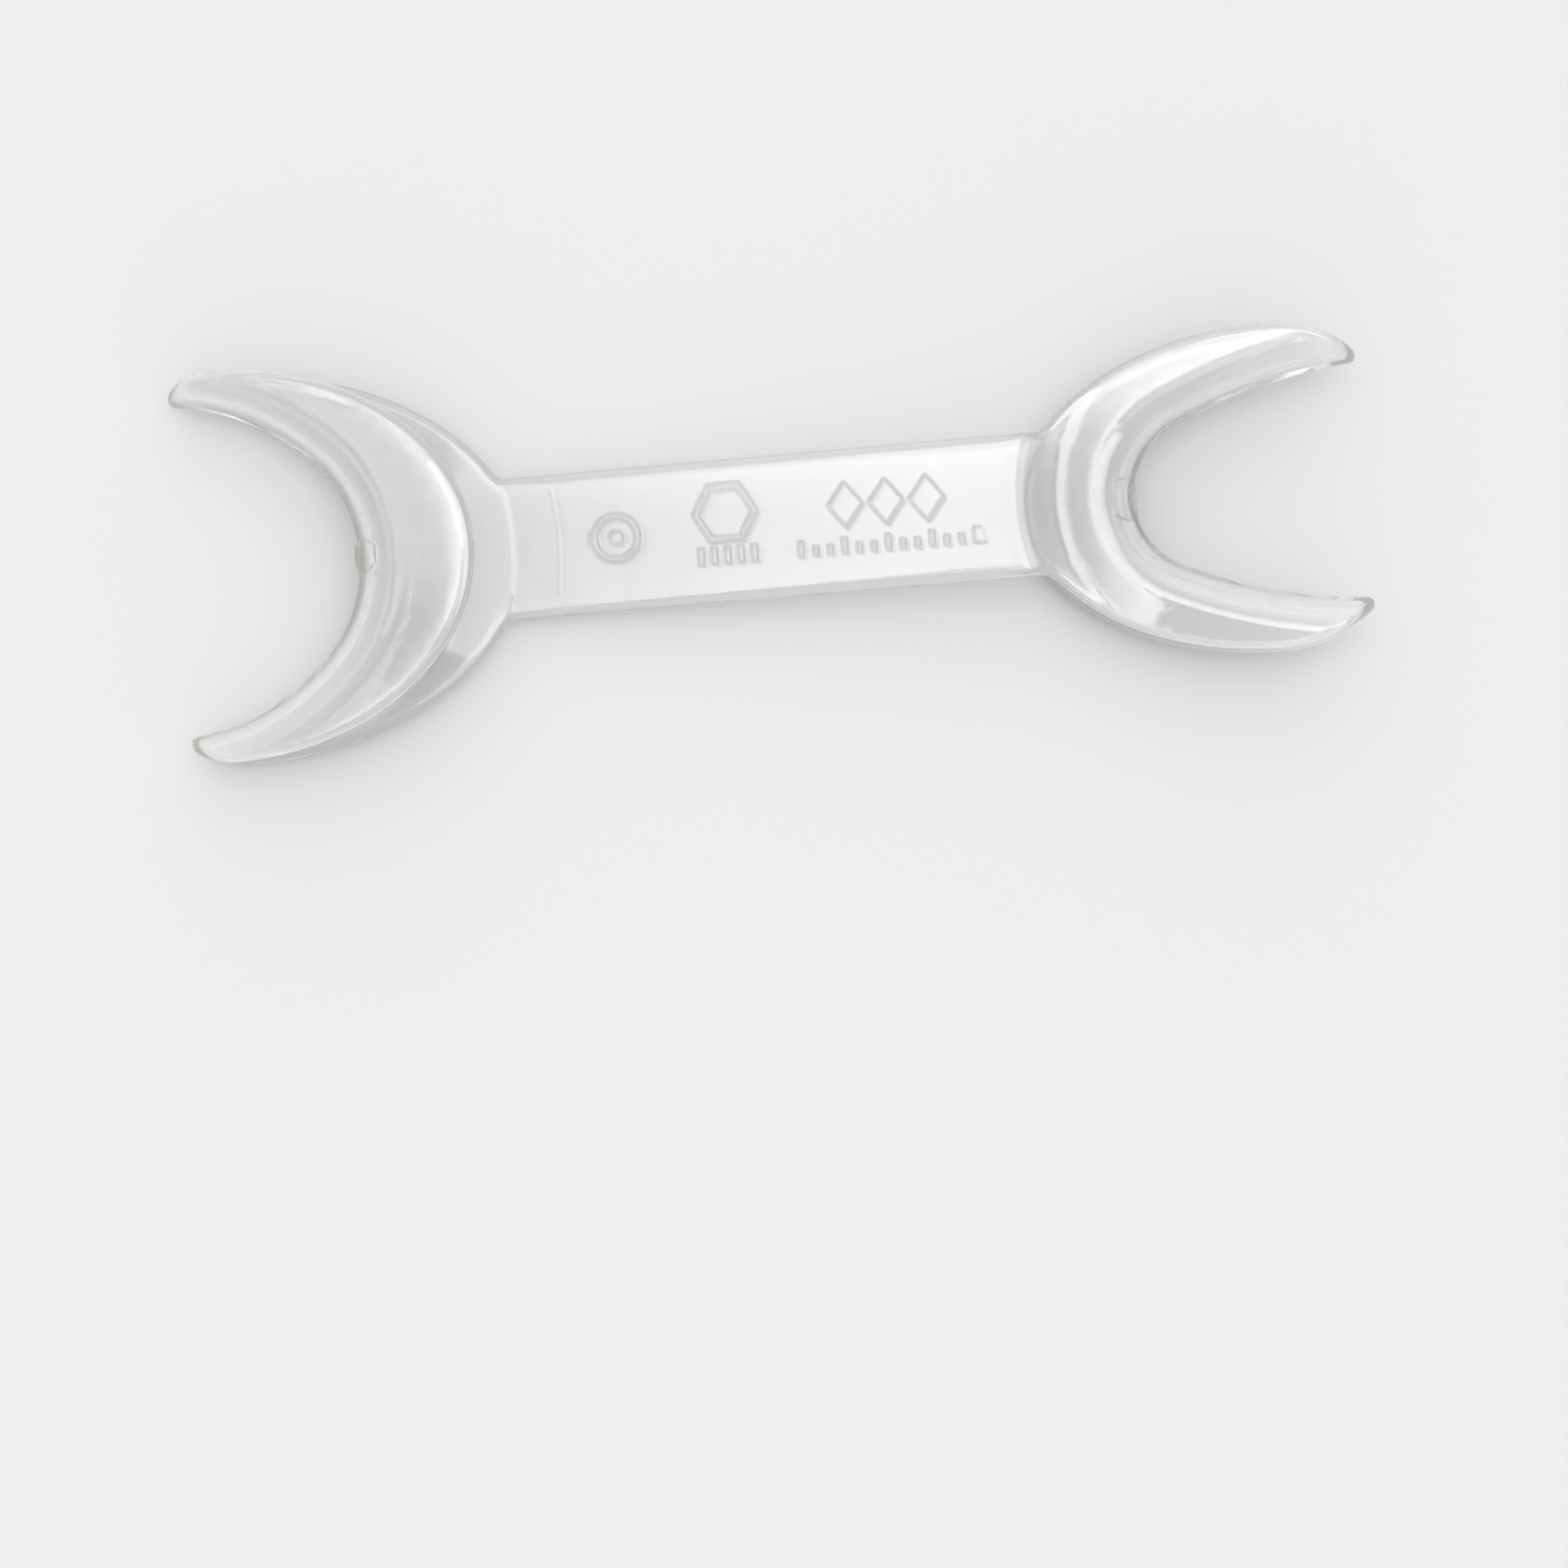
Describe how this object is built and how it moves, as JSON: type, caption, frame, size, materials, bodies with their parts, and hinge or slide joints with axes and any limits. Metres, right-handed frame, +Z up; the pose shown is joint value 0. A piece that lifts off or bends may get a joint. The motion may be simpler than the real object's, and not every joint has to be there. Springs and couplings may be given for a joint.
{
  "type": "cheek retractor",
  "caption": "Clear double-ended cheek retractor: a flat handle with a large and a small C-shaped lip trough, one on each face.",
  "frame": {"origin": "bottom centre of the part's box, on the table that it lies on", "axes": "+X along the handle towards the small end, +Z up from the table; the part lies tipped 7.23 degrees about Y, as it rests by itself"},
  "size_m": [0.1548, 0.0508, 0.0152],
  "materials": {
    "clear_plastic": "clear polycarbonate, polished mould finish, slightly satin on the handle"
  },
  "bodies": {
    "root": {"handle_bar": "clear_plastic", "large_neck": "clear_plastic", "large_cheek_flange": "clear_plastic", "large_web": "clear_plastic", "large_lip_flange": "clear_plastic", "large_gate_pad": "clear_plastic", "small_neck": "clear_plastic", "small_cheek_flange": "clear_plastic", "small_web": "clear_plastic", "small_lip_flange": "clear_plastic", "small_gate_pad": "clear_plastic", "ring_mark": "clear_plastic", "hexagon_mark": "clear_plastic", "bars_mark": "clear_plastic", "lozenges_mark": "clear_plastic", "scale_mark": "clear_plastic"}
  },
  "joints": []
}
